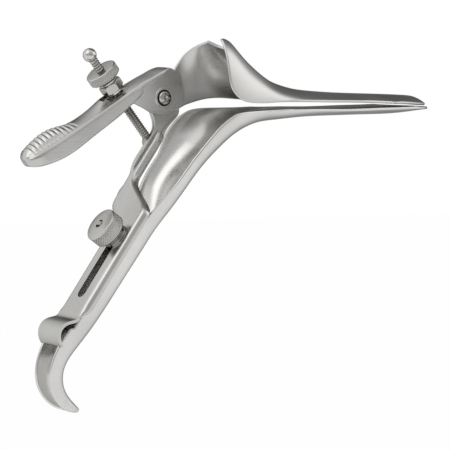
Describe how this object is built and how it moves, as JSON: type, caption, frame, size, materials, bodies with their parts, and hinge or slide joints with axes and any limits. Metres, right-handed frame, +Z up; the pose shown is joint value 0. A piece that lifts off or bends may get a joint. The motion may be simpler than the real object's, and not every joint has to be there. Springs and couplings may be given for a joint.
{
  "type": "bivalve speculum",
  "caption": "Open-sided bivalve speculum: hinged duckbill blades, hooked channel handle, slotted slide with knob, thumb lever and screw.",
  "frame": {"origin": "on the hinge axis of the upper blade, in the middle of the blades' width", "axes": "+X along the blades to their tips, +Z up from the lower to the upper blade, +Y towards the hinge side"},
  "size_m": [0.2092, 0.0501, 0.1696],
  "materials": {
    "satin_steel": "satin stainless steel sheet",
    "lever_steel": "satin stainless steel with a polished edge",
    "knurled_steel": "knurled stainless steel",
    "screw_steel": "threaded stainless steel, bright turned",
    "bright_steel": "polished stainless steel"
  },
  "bodies": {
    "handle": {"lower_blade": "satin_steel", "handle": "satin_steel", "stud_block": "satin_steel", "clamp_stud": "screw_steel"},
    "clamp_washer": {"clamp_washer": "bright_steel"},
    "clamp_knob": {"clamp_knob": "knurled_steel"},
    "slide": {"slotted_slide": "satin_steel", "hinge_arm": "satin_steel", "pivot_screw": "bright_steel", "rod_pin": "bright_steel"},
    "upper_blade": {"upper_blade": "satin_steel", "thumb_lever": "lever_steel"},
    "rod": {"adjusting_rod": "screw_steel", "rod_ball": "bright_steel"},
    "nut_seat": {"swivel_washer": "bright_steel", "lock_nut": "bright_steel"},
    "nut": {"adjusting_nut": "knurled_steel"}
  },
  "joints": [
    {"name": "slide_lift", "type": "slide", "parent": "handle", "child": "slide", "axis": [0.5721, 0, 0.8202], "range_m": [0, 0.029]},
    {"name": "blade_open", "type": "hinge", "parent": "slide", "child": "upper_blade", "pos_m": [0, 0.018, 0], "axis": [0, -1, 0], "range_deg": [0, 32]},
    {"name": "rod_swing", "type": "hinge", "parent": "slide", "child": "rod", "pos_m": [-0.0033, 0.024, -0.0204], "axis": [0, -1, 0], "range_deg": [0, 16.7]},
    {"name": "nut_travel", "type": "slide", "parent": "rod", "child": "nut_seat", "axis": [-0.6388, 0, 0.7694], "range_m": [-0.00977, 0]},
    {"name": "nut_turn", "type": "hinge", "parent": "nut_seat", "child": "nut", "pos_m": [-0.02885, 0.024, 0.01038], "axis": [-0.6388, 0, 0.7694], "continuous": true},
    {"name": "clamp_lift", "type": "slide", "parent": "handle", "child": "clamp_washer", "axis": [-0.8202, 0, 0.5721], "range_m": [0, 0.00121]},
    {"name": "clamp_turn", "type": "hinge", "parent": "clamp_washer", "child": "clamp_knob", "pos_m": [-0.04045, 0, -0.05799], "axis": [-0.8202, 0, 0.5721], "range_deg": [0, 540]}
  ],
  "couplings": [
    {"joint": "rod_swing", "follows": "blade_open", "ratio": 0.5188},
    {"joint": "nut_travel", "follows": "blade_open", "m_per_rad": -0.017319},
    {"joint": "clamp_lift", "follows": "clamp_turn", "m_per_rad": 0.00012732}
  ]
}
